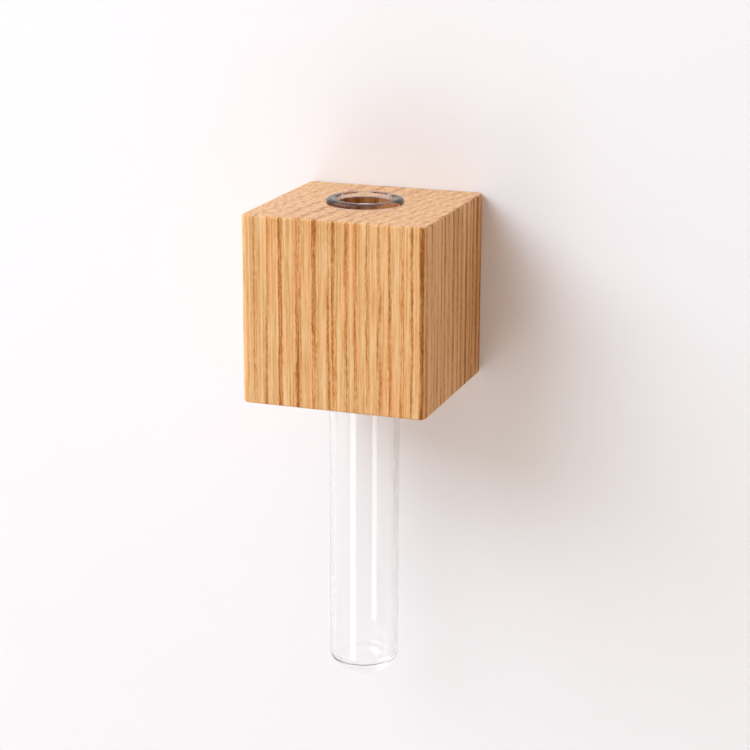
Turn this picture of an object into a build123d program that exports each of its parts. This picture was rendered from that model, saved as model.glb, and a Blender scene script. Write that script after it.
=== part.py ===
from build123d import *
from math import asin, cos, degrees
import os

# Test tube vase: a glass test tube hangs by its rolled lip in a bored wooden cube, and two pot magnets
# let into the cube's back hold it to a steel surface. Millimetres, +Z up, +Y into that surface.
# The origin is the centre of the cube's back face.

# Wooden cube
block_width = 40.0
block_depth = 40.0
block_height = 40.0
upright_edge_radius = 1.5  # the four edges that run with the grain
end_edge_radius = 0.6  # the edges round the end grain, top and bottom

# Glass test tube
tube_diameter = 15.0
tube_wall = 1.0
tube_length = 107.0  # over all, lip included
base_thickness = 3.9  # glass under the middle of the floor
bottom_crown_radius = 9.5
bottom_heel_radius = 4.4
floor_crown_radius = 30.0
floor_heel_radius = 2.2
lip_overhang = 0.7  # how far the lip stands out past the tube
lip_height = 1.25
lip_heel_chamfer = 0.3  # between the lip's flat underside and its side
lip_roll_height = 0.65  # the rounding over the lip's top, from its side to the inner wall

# Bore that the tube hangs in
bore_clearance = 0.25  # all round the tube
bore_chamfer = 0.4  # at the lower mouth

# Pot magnets: a steel cup round a ring magnet
cup_diameter = 16.0
cup_height = 4.5
cup_wall = 1.1
cup_floor = 1.8
screw_hole_diameter = 3.5
screw_hole_land = 0.3  # the straight part, below the countersink
ring_bore_diameter = 7.0
ring_gap = 0.15  # between ring and cup wall
ring_chamfer = 0.2
magnet_inset = 0.1  # below the back face
recess_clearance = 0.1  # all round the cup

# Countersunk wood screws
screw_length = 10.0
screw_diameter = 3.0
screw_head_diameter = 6.0
screw_point_length = 2.5
screw_tip_radius = 0.2
screw_seat_gap = 0.05
pilot_clearance = 0.05
pilot_overdepth = 0.5
cross_width = 0.75
cross_span = 3.2
cross_depth = 1.2
cross_taper = 12.0  # degrees

overrun = 1.0  # how far a cut passes the face that it opens

# Places that several pieces share
tube_radius = tube_diameter / 2
bore_radius = tube_radius + bore_clearance
bore_axis_y = -block_depth / 2
block_top = block_height / 2
lip_seat_z = block_top
cup_radius = cup_diameter / 2
recess_radius = cup_radius + recess_clearance
recess_depth = magnet_inset + cup_height
magnet_strip = (block_width - 4 * recess_radius) / 3  # wood beside and between the magnets
magnet_x = recess_radius + magnet_strip / 2
screw_radius = screw_diameter / 2
head_radius = screw_head_diameter / 2
head_height = head_radius - screw_radius  # the countersink is square, 45 degrees each side
hole_radius = screw_hole_diameter / 2
countersink_radius = hole_radius + cup_floor - screw_hole_land
cup_floor_z = cup_floor - cup_height
head_top = cup_floor_z - (countersink_radius - head_radius) + screw_seat_gap


def magnet_places():
    """The two magnets' places: z 0 is the magnet's face, and the wood is below it."""
    for side in (-1, 1):
        face = Plane(origin=(side * magnet_x, -magnet_inset, 0), x_dir=(1, 0, 0), z_dir=(0, 1, 0))
        yield face.location


def turned(outline):
    """A solid of revolution about Z from an outline drawn in the XZ plane."""
    return revolve(Plane.XZ * make_face(outline), axis=Axis.Z)


def wood_block():
    """The cube, with the tube's bore and the magnets' recesses and pilot holes."""
    block = Box(block_width, block_depth, block_height)
    block = fillet(block.edges().filter_by(Axis.Z), upright_edge_radius)
    ends = block.faces().filter_by(Axis.Z)
    block = fillet(ends.edges(), end_edge_radius)
    block = Pos(0, bore_axis_y, 0) * block

    bore = Cylinder(bore_radius, block_height + 2 * overrun)
    mouth = Pos(0, 0, -block_top) * Cone(bore_radius + 2 * bore_chamfer, bore_radius, 2 * bore_chamfer)
    block -= Pos(0, bore_axis_y, 0) * (bore + mouth)

    pilot_radius = screw_radius + pilot_clearance
    pilot_depth = screw_length - head_top + pilot_overdepth
    for place in magnet_places():
        recess_top = magnet_inset + overrun
        recess = Cylinder(recess_radius, recess_depth + overrun, align=(Align.CENTER, Align.CENTER, Align.MAX))
        pilot = Cylinder(pilot_radius, pilot_depth, align=(Align.CENTER, Align.CENTER, Align.MAX))
        block -= place * (Pos(0, 0, recess_top) * recess + pilot)
    return block


def domed_end(radius, crown_radius, heel_radius, tip_z):
    """Half the outline of a domed end: a crown arc on the axis, and the heel arc from it to the wall."""
    turn = asin((radius - heel_radius) / (crown_radius - heel_radius))
    crown_z = tip_z + crown_radius
    heel_z = crown_z - (crown_radius - heel_radius) * cos(turn)
    crown = CenterArc((0, crown_z), crown_radius, -90, degrees(turn))
    heel = CenterArc((radius - heel_radius, heel_z), heel_radius, degrees(turn) - 90, 90 - degrees(turn))
    return crown, heel


def glass_tube():
    """The test tube: a thick domed base, a straight wall and a fire-polished lip."""
    inner_radius = tube_radius - tube_wall
    lip_radius = tube_radius + lip_overhang
    top = lip_seat_z + lip_height
    bottom = top - tube_length
    floor = bottom + base_thickness
    bottom_crown, bottom_heel = domed_end(tube_radius, bottom_crown_radius, bottom_heel_radius, bottom)
    floor_crown, floor_heel = domed_end(inner_radius, floor_crown_radius, floor_heel_radius, floor)
    roll_x = (lip_radius + inner_radius) / 2
    roll_z = top - lip_roll_height
    outer_wall = Polyline(
        bottom_heel @ 1,
        (tube_radius, lip_seat_z),
        (lip_radius - lip_heel_chamfer, lip_seat_z),
        (lip_radius, lip_seat_z + lip_heel_chamfer),
        (lip_radius, roll_z),
    )
    roll = EllipticalCenterArc((roll_x, roll_z), lip_radius - roll_x, lip_roll_height, 0, arc_size=180)
    inner_wall = Line((inner_radius, roll_z), floor_heel @ 1)
    axis_line = Line((0, floor), (0, bottom))
    outer = [bottom_crown, bottom_heel, outer_wall, roll]
    outline = Curve() + outer + [inner_wall, floor_heel, floor_crown, axis_line]
    return Pos(0, bore_axis_y, 0) * turned(outline)


def magnet_cups():
    """Two steel cups, each with a countersunk hole in its floor."""
    well_radius = cup_radius - cup_wall
    outline = Polyline(
        (cup_radius, 0),
        (cup_radius, -cup_height),
        (hole_radius, -cup_height),
        (hole_radius, screw_hole_land - cup_height),
        (countersink_radius, cup_floor_z),
        (well_radius, cup_floor_z),
        (well_radius, 0),
        (cup_radius, 0),
    )
    cup = turned(outline)
    return Compound(children=[place * cup for place in magnet_places()])


def magnet_rings():
    """Two ring magnets, each standing on its cup's floor with its face flush with the rim."""
    ring_height = cup_height - cup_floor
    ring_radius = cup_radius - cup_wall - ring_gap
    ring = Cylinder(ring_radius, ring_height, align=(Align.CENTER, Align.CENTER, Align.MAX))
    ring -= Cylinder(ring_bore_diameter / 2, 2 * ring_height + overrun)
    face = ring.faces().sort_by(Axis.Z)[-1]
    ring = chamfer(face.edges(), ring_chamfer)
    return Compound(children=[place * ring for place in magnet_places()])


def magnet_screws():
    """Two countersunk screws, each seated in its cup's countersink."""
    tip = head_top - screw_length
    outline = Polyline(
        (0, head_top),
        (head_radius, head_top),
        (screw_radius, head_top - head_height),
        (screw_radius, tip + screw_point_length),
        (screw_tip_radius, tip),
        (0, tip),
        (0, head_top),
    )
    screw = turned(outline)
    cross = Rectangle(cross_span, cross_width) + Rectangle(cross_width, cross_span)
    screw -= Pos(0, 0, head_top) * extrude(cross, -cross_depth, taper=cross_taper)
    return Compound(children=[place * screw for place in magnet_places()])


os.makedirs("parts", exist_ok=True)
for make in (wood_block, glass_tube, magnet_cups, magnet_rings, magnet_screws):
    export_step(make(), f"parts/{make.__name__}.step")
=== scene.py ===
import bpy
from math import asin, cos, degrees, pi, radians, sin
from mathutils import Matrix, Vector

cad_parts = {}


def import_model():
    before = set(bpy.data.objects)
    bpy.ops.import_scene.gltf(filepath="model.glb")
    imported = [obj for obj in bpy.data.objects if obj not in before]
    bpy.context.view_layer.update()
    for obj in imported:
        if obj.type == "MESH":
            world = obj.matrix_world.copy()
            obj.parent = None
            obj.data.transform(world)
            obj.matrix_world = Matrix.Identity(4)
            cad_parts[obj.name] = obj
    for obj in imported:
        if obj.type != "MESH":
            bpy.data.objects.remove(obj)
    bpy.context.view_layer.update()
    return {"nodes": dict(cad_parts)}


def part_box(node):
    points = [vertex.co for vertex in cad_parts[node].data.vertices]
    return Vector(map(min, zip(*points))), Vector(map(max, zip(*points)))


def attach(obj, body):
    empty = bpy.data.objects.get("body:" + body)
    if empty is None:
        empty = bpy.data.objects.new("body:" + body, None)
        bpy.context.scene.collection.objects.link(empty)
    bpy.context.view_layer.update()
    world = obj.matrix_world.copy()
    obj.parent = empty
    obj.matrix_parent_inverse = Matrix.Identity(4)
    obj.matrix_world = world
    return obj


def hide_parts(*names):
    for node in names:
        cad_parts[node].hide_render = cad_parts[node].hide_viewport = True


# Looks of the test tube vase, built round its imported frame. Metres, +Z up, +Y into the wall.

MM = 0.001
WHITE = (1.0, 1.0, 1.0, 1.0)

# The photograph's camera, measured from the cube's edges and the tube's outline
CAMERA_AZIMUTH = 19.291  # degrees round to the right of the front
CAMERA_ELEVATION = 15.844
CAMERA_ROLL = 0.199
CAMERA_PLACE = Vector((142.635, -420.775, 103.29)) * MM
CAMERA_SENSOR = 36.0
CAMERA_LENS = 99.086
CAMERA_CLIP_START = 0.01

# Light: a wide soft window up to the left, a small card low in front, and a world brighter on the left
KEY = {
    "azimuth": -52.0,
    "elevation": 39.0,
    "width": 1.45,
    "height": 0.73,
    "watts": 16.7,
    "colour": (0.74, 0.856, 1.0),
}
FILL = {
    "azimuth": -20.0,
    "elevation": -22.5,
    "width": 0.36,
    "height": 0.34,
    "watts": 1.0,
    "colour": (1.0, 0.98, 0.95),
}
LAMP_DISTANCE = 1.2
AMBIENT_STRENGTH = 0.364
AMBIENT_COLOUR = (1.0, 0.833, 0.653, 1.0)
SIDE_STRENGTH = 0.976  # added for light straight from the left
SIDE_COLOUR = (1.0, 0.98, 0.96, 1.0)
BACKGROUND_COLOUR = (0.96, 0.94, 0.945, 1.0)

# Wall and floor
WALL_COLOUR = (0.93, 0.905, 0.91, 1.0)
WALL_HALF_WIDTH = 1.6
WALL_GAP = 0.03 * MM  # behind the block's back face
FLOOR_DROP = 0.7
OPENING_INSET = 1.5  # millimetres from the block's edge in to the wall's opening behind it
LIGHT_MARGIN = 1.0  # millimetres out past the block's edge where the wall still lets soft light in

# Glass tube
TUBE_RADIUS = 7.5 * MM
TUBE_WALL = 1.0 * MM
BASE_THICKNESS = 3.3 * MM
BOTTOM_CROWN_RADIUS = 9.5 * MM
BOTTOM_HEEL_RADIUS = 4.4 * MM
FLOOR_CROWN_RADIUS = 30.0 * MM
FLOOR_HEEL_RADIUS = 1.2 * MM
LIP_ROLL_HEIGHT = 0.62 * MM
LIP_HEEL_RADIUS = 0.2 * MM
LIP_BEAD = 0.6 * MM  # how far the rolled lip stands into the mouth
LIP_LAND = 2.5 * MM  # how far down its inside stays straight
LIP_TAPER = 5.0 * MM  # and then thins to the wall
LIP_FILLET = 0.15 * MM  # between the lip's underside and the wall
GUARD = 0.3 * MM  # short stretches that keep the long walls' shading true
TAPER_STEPS = 24
TUBE_SEGMENTS = 160
ON_AXIS = 1e-9  # points nearer to the axis than this are on it
GLASS_COLOUR = (0.995, 0.997, 0.996, 1.0)
GLASS_IOR = 1.47
GLASS_SHADE = (0.93, 0.93, 0.93, 1.0)  # what each surface lets through of light for matt surfaces

# Metals: name, colour, roughness, and how far the turning marks change the roughness
METALS = {
    "magnet_cups": ("cup_steel", (0.62, 0.61, 0.6, 1.0), 0.3, 0.06),
    "magnet_rings": ("nickel_plate", (0.72, 0.7, 0.67, 1.0), 0.16, 0.04),
    "magnet_screws": ("screw_steel", (0.56, 0.57, 0.6, 1.0), 0.32, 0.08),
}
MARK_SHADE = 0.9  # the colour in the turning marks, as a share of the metal's own

# Wood: growth rings stand upright in the block and lean a little in plan. Each row is one band of open,
# darker early wood: where it starts and its width, in millimetres from the left or front edge, and its
# strength.
FRONT_RINGS = (
    (-9.4, 0.7, 0.7), (-6.9, 0.5, 0.6), (-4.3, 0.9, 0.8), (-1.6, 0.5, 0.6), (0.5, 0.3, 0.4),
    (2.8, 0.5, 0.65), (5.5, 0.4, 0.6), (8.1, 1.0, 0.85), (11.8, 1.2, 1.0), (15.6, 1.1, 0.95),
    (19.1, 0.2, 0.8), (19.9, 0.8, 0.95), (22.8, 0.6, 0.85), (24.9, 0.5, 0.8), (27.3, 0.5, 0.7),
    (29.9, 0.5, 0.75), (32.2, 0.5, 0.75), (34.8, 0.4, 0.75), (36.8, 0.6, 0.85), (38.8, 1.2, 0.95),
    (41.4, 0.5, 0.6),
)
SIDE_RINGS = (
    (0.9, 0.7, 0.7), (3.9, 0.7, 0.8), (5.6, 0.5, 0.6), (7.7, 0.7, 0.8), (10.1, 0.7, 0.7),
    (12.3, 0.9, 0.9), (15.0, 0.8, 0.7), (18.2, 1.0, 0.9), (21.3, 0.9, 0.9), (24.0, 0.8, 0.8),
    (27.4, 1.2, 1.0), (30.4, 0.7, 0.8), (32.3, 0.9, 0.9), (35.0, 1.3, 1.0), (38.0, 0.9, 0.8),
)
RING_SPAN = (-11.0, 43.0)
RING_ONSET = (-0.12, 0.06)  # a band rises to its full strength between these distances from its start
RING_FADE = (0.8, 0.85)  # at this share of its width it has this share of its strength
RING_TAIL = 0.3  # and it is gone this far past its width
RING_LEAN = 0.08  # how far a ring moves right for each millimetre that it runs back, at the left edge
RING_TURN = 0.0035  # how much that grows for each millimetre to the right
WANDER = (  # how rings stray: features per millimetre across and along the grain, detail, and reach
    (0.05, 0.025, 1.0, 0.9),
    (0.3, 0.11, 2.0, 0.7),
    (2.2, 0.9, 1.0, 0.5),
)
SIDE_WANDER = 1.3  # the side face's rings stray this much more
GRAIN_COLOURS = (  # by how dark the wood is, from late wood to the deepest pores
    (0.0, (0.885, 0.55, 0.285, 1.0)),
    (0.15, (0.83, 0.495, 0.24, 1.0)),
    (0.4, (0.735, 0.39, 0.157, 1.0)),
    (0.65, (0.60, 0.27, 0.083, 1.0)),
    (0.85, (0.48, 0.18, 0.038, 1.0)),
    (1.0, (0.34, 0.10, 0.014, 1.0)),
)
REDDISH = (1.0, 0.93, 0.84, 1.0)
OLIVE = (0.97, 1.0, 0.97, 1.0)
END_GRAIN = (0.68, 0.49, 0.37, 1.0)  # cut ends are a little paler and greyer
END_SHARE = 0.28
BORE_PAINTED_SHADE = (0.72, 0.52, 0.42, 1.0)  # painted shade on the bore's wall and on the rim under the lip, where little light reaches
BORE_REACH = 8.3  # millimetres from the bore's axis
BORE_EDGE = 0.3  # over which that darkness fades

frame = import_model()


class Graph:
    """The nodes of a material or world. Each call adds nodes and gives the output to use next."""

    def __init__(self, owner):
        owner.use_nodes = True
        self.owner = owner
        self.tree = owner.node_tree
        self.tree.nodes.clear()

    def node(self, kind, inputs=None, **settings):
        made = self.tree.nodes.new("ShaderNode" + kind)
        for name, value in settings.items():
            setattr(made, name, value)
        for socket, value in (inputs or {}).items():
            if isinstance(value, bpy.types.NodeSocket):
                self.tree.links.new(value, made.inputs[socket])
            else:
                made.inputs[socket].default_value = value
        return made

    def math(self, operation, first, second=0.0, third=0.0):
        return self.node("Math", {0: first, 1: second, 2: third}, operation=operation).outputs[0]

    def add(self, *terms):
        total = terms[0]
        for term in terms[1:]:
            total = self.math("ADD", total, term)
        return total

    def times(self, *terms):
        product = terms[0]
        for term in terms[1:]:
            product = self.math("MULTIPLY", product, term)
        return product

    def highest(self, *terms):
        top = terms[0]
        for term in terms[1:]:
            top = self.math("MAXIMUM", top, term)
        return top

    def step(self, value, low, high, start=0.0, end=1.0):
        """A soft step: start where value is at low or below, end where it is at high or above."""
        values = {"Value": value, "From Min": low, "From Max": high, "To Min": start, "To Max": end}
        return self.node("MapRange", values, interpolation_type="SMOOTHSTEP").outputs[0]

    def blend(self, share, first, second):
        """A number between two others."""
        return self.node("Mix", {0: share, 2: first, 3: second}, data_type="FLOAT").outputs[0]

    def mix(self, share, first, second):
        """A colour between two others."""
        return self.node("Mix", {0: share, 6: first, 7: second}, data_type="RGBA").outputs[2]

    def tinted(self, colour, tint):
        made = self.node("Mix", {0: 1.0, 6: colour, 7: tint}, data_type="RGBA", blend_type="MULTIPLY")
        return made.outputs[2]

    def ramp(self, share, stops):
        made = self.node("ValToRGB", {0: share})
        elements = made.color_ramp.elements
        for element, (position, colour) in zip(elements, (stops[0], stops[-1])):
            element.position, element.color = position, colour
        for position, colour in stops[1:-1]:
            elements.new(position).color = colour
        return made.outputs[0]

    def place(self):
        """The point's place on the object, in millimetres."""
        place = self.node("TexCoord").outputs["Object"]
        return self.node("VectorMath", {0: place, "Scale": 1 / MM}, operation="SCALE").outputs[0]

    def parts(self, vector):
        """The x, y and z of a vector."""
        return self.node("SeparateXYZ", {0: vector}).outputs

    def noise(self, place, detail=1.0, roughness=0.5):
        values = {"Vector": place, "Scale": 1.0, "Detail": detail, "Roughness": roughness}
        return self.node("TexNoise", values).outputs[0]

    def grain(self, place, across, along, detail=1.0, roughness=0.5):
        """Noise with features 1/across wide and 1/along long, the long way up."""
        scaled = self.node("VectorMath", {0: place, 1: (across, across, along)}, operation="MULTIPLY")
        return self.noise(scaled.outputs[0], detail, roughness)

    def swing(self, noise, width):
        """Noise about zero, this wide from its lowest to its highest."""
        return self.times(self.math("SUBTRACT", noise, 0.5), width)

    def finish(self, shader, output="OutputMaterial"):
        self.node(output, {"Surface": shader})
        return self.owner


def ring_bands(g, across, rings):
    """How much a point lies in early wood: each band starts sharply and fades out."""
    first, last = RING_SPAN
    share = g.node("MapRange", {"Value": across, "From Min": first, "From Max": last}).outputs[0]
    curve = g.node("FloatCurve", {"Value": share})
    points = curve.mapping.curves[0].points
    points[0].location = (0.0, 0.0)
    points[1].location = (1.0, 0.0)
    before, after = RING_ONSET
    fade_place, fade_strength = RING_FADE
    for start, width, strength in rings:
        profile = (
            (before, 0.0),
            (after, strength),
            (fade_place * width, fade_strength * strength),
            (width + RING_TAIL, 0.0),
        )
        for step, value in profile:
            points.new((start + step - first) / (last - first), value)
    for point in points:
        point.handle_type = "VECTOR"
    curve.mapping.update()
    return curve.outputs[0]


def early_wood(g, place, across, back, side_grain):
    """The bands on the front and the side. They wander, ripple, and are stronger here and there."""
    aside = g.add(*[
        g.swing(g.grain(place, wide, long, detail), reach) for wide, long, detail, reach in WANDER
    ])
    front_band = ring_bands(g, g.add(across, aside), FRONT_RINGS)
    side_band = ring_bands(g, g.add(back, g.times(aside, SIDE_WANDER)), SIDE_RINGS)
    strength = g.step(g.grain(place, 0.3, 0.06, detail=2.0), 0.3, 0.6, 0.6, 1.0)
    return g.times(g.blend(side_grain, front_band, side_band), strength)


def fine_lines(g, place):
    """Lines that run on along the grain between the bands, long ones and shorter ones."""
    long_line = g.grain(place, 2.3, 0.02)
    short_line = g.grain(place, 2.9, 0.13)
    return g.step(g.add(g.times(long_line, 0.6), g.times(short_line, 0.4)), 0.38, 0.62)


def open_pores(g, place, early):
    """Dark dashes and dots, most of them in the early wood."""
    pore = g.add(
        g.times(g.grain(place, 3.6, 0.2), 0.45),
        g.times(g.grain(place, 7.0, 0.9), 0.55),
        g.times(early, 0.12),
    )
    return g.times(g.step(pore, 0.58, 0.68), g.step(early, 0.0, 0.5, 0.5, 1.0))


def pore_rows(g, across, back):
    """On the cut ends the rows of pores show as short dashes that run with the rings."""
    rows = g.node("CombineXYZ", {0: g.times(across, 2.4), 1: g.times(back, 0.45)}).outputs[0]
    return g.step(g.noise(rows), 0.38, 0.62)


def bore_share(g, x, y, centre_y):
    """How near a point is to the bore, whose axis is upright."""
    off_axis = g.node("CombineXYZ", {0: x, 1: g.math("SUBTRACT", y, centre_y)}).outputs[0]
    radius = g.node("VectorMath", {0: off_axis}, operation="LENGTH").outputs["Value"]
    return g.step(radius, BORE_REACH, BORE_REACH - BORE_EDGE)


def ash_wood():
    """Ring-porous wood, cut with its grain upright, under a clear matt oil."""
    g = Graph(bpy.data.materials.new("ash_wood"))
    place = g.place()
    low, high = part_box("wood_block")
    x, y, _ = g.parts(place)
    from_left = g.math("SUBTRACT", x, low.x / MM)
    back = g.math("SUBTRACT", y, low.y / MM)
    lean = g.math("MULTIPLY_ADD", from_left, -RING_TURN, -RING_LEAN)
    across = g.add(from_left, g.times(back, lean))

    facing = g.parts(g.node("TexCoord").outputs["Normal"])
    end_grain = g.step(g.math("ABSOLUTE", facing[2]), 0.55, 0.85)
    side_grain = g.step(g.math("ABSOLUTE", facing[0]), 0.6, 0.85)
    side_grain = g.times(side_grain, g.math("SUBTRACT", 1.0, end_grain))

    # How dark each mark makes the wood, along the grain and on the cut ends, with painted shade on the sides
    # that deepens towards the wall
    early = early_wood(g, place, across, back, side_grain)
    fleck = g.step(g.grain(place, 3.4, 0.6, detail=2.0, roughness=0.6), 0.36, 0.62)
    streak = g.grain(place, 0.7, 0.02, detail=2.0)
    line = fine_lines(g, place)
    pore = open_pores(g, place, early)
    dark = g.add(
        0.08,
        g.swing(streak, 0.5),
        g.times(line, 0.42),
        g.swing(fleck, 0.1),
        g.times(early, g.blend(fleck, 0.36, 0.6)),
        g.times(pore, 0.2),
        # Painted shade: the side faces darker, more so towards the wall
        g.times(side_grain, g.step(back, 0.0, 40.0, 0.02, 0.16)),
    )
    end_dark = g.add(
        g.times(early, 0.45),
        g.times(line, 0.12),
        g.times(pore_rows(g, across, back), 0.52),
        g.times(fleck, 0.1),
    )
    colour = g.ramp(g.blend(end_grain, dark, end_dark), GRAIN_COLOURS)

    hue = g.step(g.add(g.grain(place, 0.5, 0.04), g.times(early, -0.1)), 0.35, 0.6)
    colour = g.tinted(colour, g.mix(hue, REDDISH, OLIVE))
    colour = g.mix(g.times(end_grain, END_SHARE), colour, END_GRAIN)
    # Painted shade in the bore and on the rim under the lip, where little light reaches
    painted_bore_shade = bore_share(g, x, y, (low.y + high.y) / 2 / MM)
    colour = g.tinted(colour, g.mix(painted_bore_shade, WHITE, BORE_PAINTED_SHADE))

    height = g.add(g.times(pore, -1.0), g.times(early, -0.3), g.times(fleck, -0.3))
    bump = g.node("Bump", {"Strength": 0.3, "Distance": 0.06 * MM, "Height": height})
    shader = g.node("BsdfPrincipled", {
        "Base Color": colour,
        "Roughness": g.add(0.52, g.times(line, 0.05), g.times(pore, 0.15)),
        "IOR": 1.45,
        "Specular IOR Level": 0.3,
        "Normal": bump.outputs[0],
    })
    return g.finish(shader.outputs[0])


def clear_glass():
    """Clear glass. Light on its way to or from a matt surface passes straight through it."""
    g = Graph(bpy.data.materials.new("clear_glass"))
    glass = g.node("BsdfPrincipled", {
        "Base Color": GLASS_COLOUR,
        "Roughness": 0.0,
        "IOR": GLASS_IOR,
        "Transmission Weight": 1.0,
    })
    clear = g.node("BsdfTransparent", {"Color": GLASS_SHADE})
    path = g.node("LightPath")
    shader = glass.outputs[0]
    for ray in ("Is Shadow Ray", "Is Diffuse Ray"):
        shader = g.node("MixShader", {0: path.outputs[ray], 1: shader, 2: clear.outputs[0]}).outputs[0]
    return g.finish(shader)


def turned_metal(name, colour, roughness, brush):
    """Metal with the fine marks of its turning, a little uneven in its colour and gloss."""
    g = Graph(bpy.data.materials.new(name))
    marks = g.noise(g.place(), detail=4.0)
    *tint, opaque = colour
    shaded = (*[MARK_SHADE * level for level in tint], opaque)
    shader = g.node("BsdfPrincipled", {
        "Base Color": g.mix(marks, colour, shaded),
        "Metallic": 1.0,
        "Roughness": g.add(roughness, g.step(marks, 0.3, 0.7, -brush, brush)),
    })
    return g.finish(shader.outputs[0])


def dress(node, material):
    """Gives a CAD node its material."""
    mesh = frame["nodes"][node].data
    mesh.materials.clear()
    mesh.materials.append(material)


def arc(centre_x, centre_z, radius_x, radius_z, start, end, steps):
    """Points on an ellipse's arc, with its angles in degrees."""
    angles = [radians(start + (end - start) * i / steps) for i in range(steps + 1)]
    return [(centre_x + radius_x * cos(a), centre_z + radius_z * sin(a)) for a in angles]


def domed_end(radius, crown_radius, heel_radius, tip_z):
    """Points from the axis out to the wall along a domed end: a crown arc and the heel arc that joins it."""
    turn = degrees(asin((radius - heel_radius) / (crown_radius - heel_radius)))
    crown_z = tip_z + crown_radius
    heel_z = crown_z - (crown_radius - heel_radius) * cos(radians(turn))
    crown = arc(0.0, crown_z, crown_radius, crown_radius, -90.0, turn - 90.0, steps=16)
    heel = arc(radius - heel_radius, heel_z, heel_radius, heel_radius, turn - 90.0, 0.0, steps=24)
    return crown + heel[1:]


def lip_taper(inner_radius, top_z):
    """Points down the inside of the lip, where its bead thins smoothly to the wall."""
    shares = [i / TAPER_STEPS for i in range(TAPER_STEPS + 1)]
    return [(inner_radius - LIP_BEAD * (1 + cos(pi * s)) / 2, top_z - LIP_TAPER * s) for s in shares]


def tube_outline():
    """The tube's half section: from under its base up the outside, over the lip and down to its floor."""
    low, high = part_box("glass_tube")
    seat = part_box("wood_block")[1].z
    lip_radius = (high.x - low.x) / 2
    inner_radius = TUBE_RADIUS - TUBE_WALL
    outer = domed_end(TUBE_RADIUS, BOTTOM_CROWN_RADIUS, BOTTOM_HEEL_RADIUS, low.z)
    inner = domed_end(inner_radius, FLOOR_CROWN_RADIUS, FLOOR_HEEL_RADIUS, low.z + BASE_THICKNESS)
    outer_wall = [
        (TUBE_RADIUS, outer[-1][1] + GUARD),
        (TUBE_RADIUS, seat - LIP_FILLET - GUARD),
    ]
    fillet_x, fillet_z = TUBE_RADIUS + LIP_FILLET, seat - LIP_FILLET
    fillet = arc(fillet_x, fillet_z, LIP_FILLET, LIP_FILLET, 180.0, 90.0, steps=6)
    heel_x, heel_z = lip_radius - LIP_HEEL_RADIUS, seat + LIP_HEEL_RADIUS
    heel = arc(heel_x, heel_z, LIP_HEEL_RADIUS, LIP_HEEL_RADIUS, -90.0, 0.0, steps=8)
    roll_x = (lip_radius + inner_radius - LIP_BEAD) / 2
    roll_z = high.z - LIP_ROLL_HEIGHT
    roll = arc(roll_x, roll_z, lip_radius - roll_x, LIP_ROLL_HEIGHT, 0.0, 180.0, steps=32)
    taper = lip_taper(inner_radius, roll_z - LIP_LAND)
    inner_wall = [
        (inner_radius, taper[-1][1] - GUARD),
        (inner_radius, inner[-1][1] + GUARD),
    ]
    return outer + outer_wall + fillet + heel + roll + taper + inner_wall + inner[::-1]


def turned(name, outline, centre, segments):
    """A smooth solid of revolution about an upright axis. Its outline starts and ends on the axis."""
    verts, rings = [], []
    for radius, z in outline:
        around = segments if radius > ON_AXIS else 1
        angles = [2 * pi * i / around for i in range(around)]
        rings.append([len(verts) + i for i in range(around)])
        verts += [(centre.x + radius * cos(a), centre.y + radius * sin(a), z) for a in angles]
    faces = []
    for lower, upper in zip(rings, rings[1:]):
        for i in range(segments):
            j = (i + 1) % segments
            corners = [
                lower[i % len(lower)],
                lower[j % len(lower)],
                upper[j % len(upper)],
                upper[i % len(upper)],
            ]
            faces.append(list(dict.fromkeys(corners)))
    mesh = bpy.data.meshes.new(name)
    mesh.from_pydata(verts, [], faces)
    mesh.shade_smooth()
    piece = bpy.data.objects.new(name, mesh)
    bpy.context.scene.collection.objects.link(piece)
    return piece


def glass_tube():
    """The test tube, finer than its CAD solid, with a rounded heel and an inward bead at the lip."""
    low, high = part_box("glass_tube")
    piece = turned("test_tube", tube_outline(), (low + high) / 2, TUBE_SEGMENTS)
    piece.data.materials.append(clear_glass())
    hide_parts("glass_tube")
    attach(piece, "tube")


def wall_paint():
    """Matt white paint, seen from the room's side only."""
    g = Graph(bpy.data.materials.new("wall_paint"))
    behind = g.node("NewGeometry").outputs["Backfacing"]
    x, _, z = g.parts(g.place())
    off_centre = g.highest(g.math("ABSOLUTE", x), g.math("ABSOLUTE", z))
    # Behind the block the wall is open, and round its edges it lets only the light in
    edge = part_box("wood_block")[1].x / MM
    inside = g.math("LESS_THAN", off_centre, edge - OPENING_INSET)
    near = g.math("LESS_THAN", off_centre, edge + LIGHT_MARGIN)
    near = g.times(near, g.node("LightPath").outputs["Is Diffuse Ray"])
    paint = g.node("BsdfDiffuse", {"Color": WALL_COLOUR})
    clear = g.node("BsdfTransparent")
    see_through = g.highest(behind, inside, near)
    shader = g.node("MixShader", {0: see_through, 1: paint.outputs[0], 2: clear.outputs[0]})
    return g.finish(shader.outputs[0])


def floor_paint():
    """The same matt white, seen from both sides."""
    g = Graph(bpy.data.materials.new("floor_paint"))
    return g.finish(g.node("BsdfDiffuse", {"Color": WALL_COLOUR}).outputs[0])


def flat_stage_piece(name, corners, material):
    """A flat four-cornered piece of the stage."""
    mesh = bpy.data.meshes.new(name)
    mesh.from_pydata(corners, [], [(0, 1, 2, 3)])
    mesh.materials.append(material)
    piece = bpy.data.objects.new(name, mesh)
    bpy.context.scene.collection.objects.link(piece)


def stage():
    """The wall that the vase hangs on, and the floor far below."""
    left, right = -WALL_HALF_WIDTH, WALL_HALF_WIDTH
    front, back = -2 * WALL_HALF_WIDTH, WALL_GAP
    bottom, top = -FLOOR_DROP, WALL_HALF_WIDTH
    wall = [(left, back, bottom), (right, back, bottom), (right, back, top), (left, back, top)]
    floor = [(left, front, bottom), (right, front, bottom), (right, back, bottom), (left, back, bottom)]
    flat_stage_piece("wall", wall, wall_paint())
    flat_stage_piece("floor", floor, floor_paint())


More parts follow.
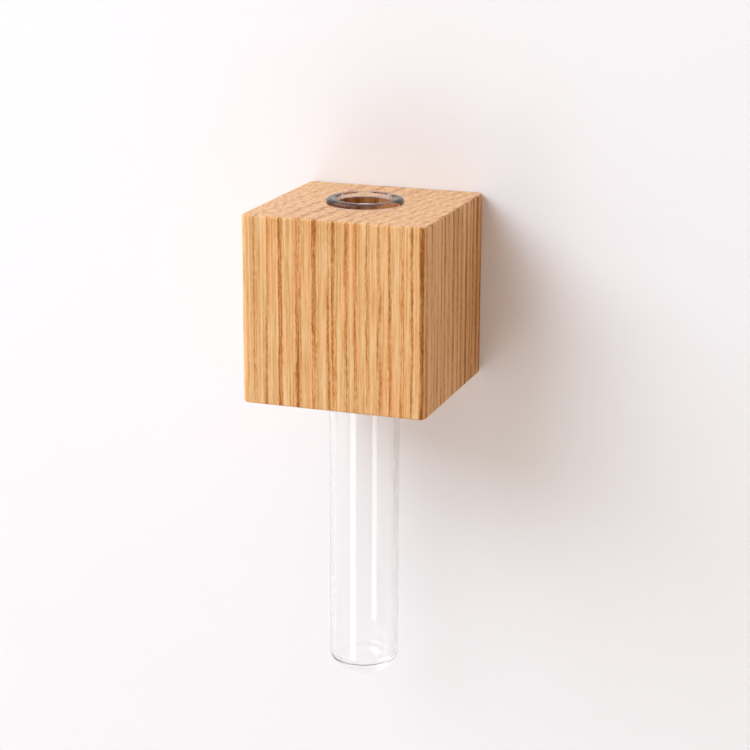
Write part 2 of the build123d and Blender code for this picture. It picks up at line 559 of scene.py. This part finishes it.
def direction(azimuth, elevation):
    """Unit vector from the object to a place at this azimuth and elevation, in degrees."""
    a, e = radians(azimuth), radians(elevation)
    return Vector((sin(a) * cos(e), -cos(a) * cos(e), sin(e)))


def facing_away(back, roll=0.0):
    """The turn of a camera or lamp whose back has this direction, rolled by this angle."""
    right = Vector((0, 0, 1)).cross(back).normalized()
    up = back.cross(right)
    rolled_right = cos(roll) * right + sin(roll) * up
    rolled_up = cos(roll) * up - sin(roll) * right
    return Matrix((rolled_right, rolled_up, back)).transposed().to_4x4()


def lamp(name, azimuth, elevation, width, height, watts, colour):
    """A soft oblong lamp that looks at the object, with its top edge level."""
    light = bpy.data.lights.new(name, "AREA")
    light.shape = "RECTANGLE"
    light.energy = watts
    light.size = width
    light.size_y = height
    light.color = colour
    piece = bpy.data.objects.new(name, light)
    away = direction(azimuth, elevation)
    piece.matrix_world = Matrix.Translation(away * LAMP_DISTANCE) @ facing_away(away)
    piece.visible_camera = False
    bpy.context.scene.collection.objects.link(piece)


def world():
    """Soft studio light, stronger from the left. Camera, metal and glass see it as the pale background."""
    g = Graph(bpy.data.worlds.new("studio"))
    heading = g.parts(g.node("TexCoord").outputs["Generated"])[0]
    leftward = g.highest(g.times(heading, -SIDE_STRENGTH), 0.0)
    even = g.node("Background", {"Color": AMBIENT_COLOUR, "Strength": AMBIENT_STRENGTH})
    window = g.node("Background", {"Color": SIDE_COLOUR, "Strength": leftward})
    light = g.node("AddShader", {0: even.outputs[0], 1: window.outputs[0]})
    seen = g.node("Background", {"Color": BACKGROUND_COLOUR})
    path = g.node("LightPath").outputs
    sharp = g.highest(path["Is Camera Ray"], path["Is Glossy Ray"], path["Is Transmission Ray"])
    mix = g.node("MixShader", {0: sharp, 1: light.outputs[0], 2: seen.outputs[0]})
    bpy.context.scene.world = g.finish(mix.outputs[0], "OutputWorld")


def camera():
    """The camera at the photograph's place, so that the render has the photograph's outline."""
    turn = facing_away(direction(CAMERA_AZIMUTH, CAMERA_ELEVATION), radians(CAMERA_ROLL))
    lens = bpy.data.cameras.new("camera")
    lens.sensor_width = CAMERA_SENSOR
    lens.lens = CAMERA_LENS
    lens.clip_start = CAMERA_CLIP_START
    piece = bpy.data.objects.new("camera", lens)
    piece.matrix_world = Matrix.Translation(CAMERA_PLACE) @ turn
    bpy.context.scene.collection.objects.link(piece)
    bpy.context.scene.camera = piece


dress("wood_block", ash_wood())
for node, metal in METALS.items():
    dress(node, turned_metal(*metal))
glass_tube()
stage()
lamp("key", **KEY)
lamp("fill", **FILL)
world()
camera()
bpy.context.scene.view_settings.view_transform = "Standard"
